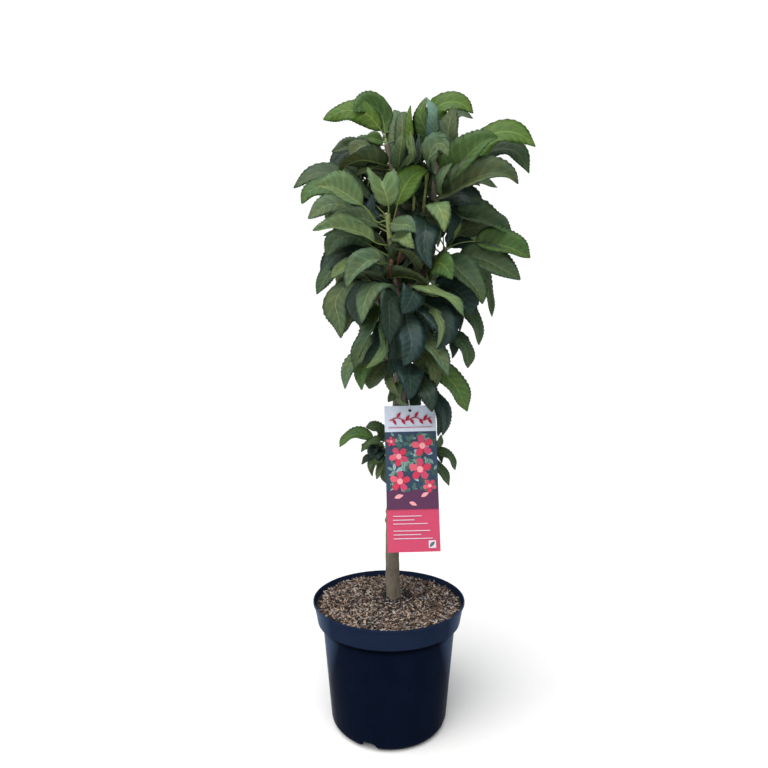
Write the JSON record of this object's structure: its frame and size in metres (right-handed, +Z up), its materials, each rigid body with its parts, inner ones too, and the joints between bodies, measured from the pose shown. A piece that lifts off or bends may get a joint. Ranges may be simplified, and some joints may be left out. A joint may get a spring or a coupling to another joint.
{
  "type": "columnar apple tree in a nursery pot",
  "caption": "Young columnar apple tree: one upright trunk forking into short boughs, a tall narrow leafy crown, a round stepped nursery pot with mulch, and a hang tag.",
  "frame": {"origin": "middle of the pot's flat underside, which stands on the floor", "axes": "+Z up along the trunk; -Y is the side that the tag hangs on; +X to the right when the tag faces the viewer"},
  "size_m": [0.413, 0.38, 1.081],
  "materials": {
    "pot_plastic": "blue-black injection-moulded plastic, semi-gloss",
    "mulch": "coarse bark chips and fibres, matt",
    "bark": "young grey-brown bark with pores and bud scars",
    "foliage": "leaves, mid to dark green above, pale green beneath",
    "tag_card": "printed plastic card, satin",
    "tie_thread": "thin white thread"
  },
  "bodies": {
    "root": {"pot": "pot_plastic", "soil": "mulch", "trunk": "bark", "leader": "bark", "bough_top_right": "bark", "shoot_front": "bark", "bough_right": "bark", "bough_left": "bark", "spur_front": "bark", "bough_back_left": "bark", "bough_back_right": "bark", "bough_top_back": "bark", "bough_low_right": "bark", "spur_low_left": "bark", "spur_low_right": "bark", "foliage_top_left": "foliage", "foliage_top_middle": "foliage", "foliage_top_right": "foliage", "foliage_top_back": "foliage", "foliage_upper_front": "foliage", "foliage_upper_right": "foliage", "foliage_upper_left": "foliage", "foliage_upper_back": "foliage", "foliage_mid_left": "foliage", "foliage_mid_right": "foliage", "foliage_mid_front": "foliage", "foliage_mid_back_left": "foliage", "foliage_mid_back_right": "foliage", "foliage_low_left": "foliage", "foliage_low_right": "foliage", "foliage_low_front": "foliage", "foliage_low_back": "foliage", "foliage_tag_side": "foliage", "foliage_whorl_left": "foliage", "foliage_whorl_right": "foliage", "foliage_whorl_back": "foliage", "tag": "tag_card", "tag_tie": "tie_thread"}
  },
  "joints": []
}
